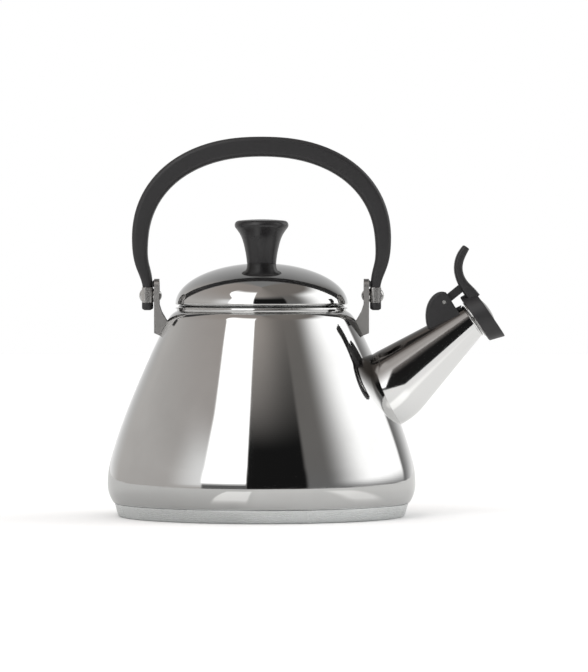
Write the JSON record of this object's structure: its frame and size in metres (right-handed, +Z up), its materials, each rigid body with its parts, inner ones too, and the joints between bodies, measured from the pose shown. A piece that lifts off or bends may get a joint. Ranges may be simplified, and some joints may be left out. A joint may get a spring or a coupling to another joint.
{
  "type": "stovetop whistling kettle",
  "caption": "Conical polished steel stovetop kettle with a conical spout, a hinged whistle cap with a finger lever, a domed lid with a flared knob and a swinging black bail.",
  "frame": {"origin": "centre of the base's underside, on the body's axis", "axes": "+Z up along the body's axis; +X towards the spout and along the handle's pivot axis; +Y to the left of the spout"},
  "size_m": [0.2453, 0.19, 0.2338],
  "materials": {
    "polished_steel": "mirror polished stainless steel",
    "base_steel": "spun magnetic stainless steel",
    "aluminium_disc": "plain aluminium",
    "black_phenolic": "satin moulded heat-resistant plastic",
    "small_steel": "turned and pressed stainless steel",
    "spring_steel": "spring steel wire",
    "brass_insert": "turned brass"
  },
  "bodies": {
    "kettle": {"body_shell": "polished_steel", "bottom_plate": "small_steel", "heat_spreader": "aluminium_disc", "base_cap": "base_steel", "spout_tube": "polished_steel", "lug_front": "polished_steel", "lug_rear": "polished_steel", "whistle_mount": "small_steel", "whistle_housing": "black_phenolic", "housing_screw": "small_steel", "whistle_pin": "small_steel", "whistle_spring": "spring_steel"},
    "whistle": {"whistle_cap": "black_phenolic", "whistle_cup": "small_steel", "whistle_disc": "small_steel"},
    "lid": {"lid_shell": "polished_steel", "lid_collar": "small_steel", "lid_knob": "black_phenolic", "knob_insert": "brass_insert", "knob_washer": "small_steel", "knob_screw": "small_steel"},
    "handle": {"handle_grip": "black_phenolic", "ferrule_front": "polished_steel", "ferrule_rear": "polished_steel", "pivot_rivet_front": "small_steel", "pivot_rivet_rear": "small_steel", "pivot_washer_front": "small_steel", "pivot_washer_rear": "small_steel"}
  },
  "joints": [
    {"name": "handle_swing", "type": "hinge", "parent": "kettle", "child": "handle", "pos_m": [0, 0, 0.136], "axis": [1, 0, 0], "range_deg": [-90, 90]},
    {"name": "lid_lift", "type": "slide", "parent": "kettle", "child": "lid", "axis": [0, 0, 1], "range_m": [0, 0.034]},
    {"name": "whistle_open", "type": "hinge", "parent": "kettle", "child": "whistle", "pos_m": [0.1124, 0, 0.132], "axis": [0, -1, 0], "range_deg": [0, 60], "stiffness_Nm_per_rad": 0.02, "springref_deg": -34.38, "deforming": ["whistle_spring"]}
  ]
}
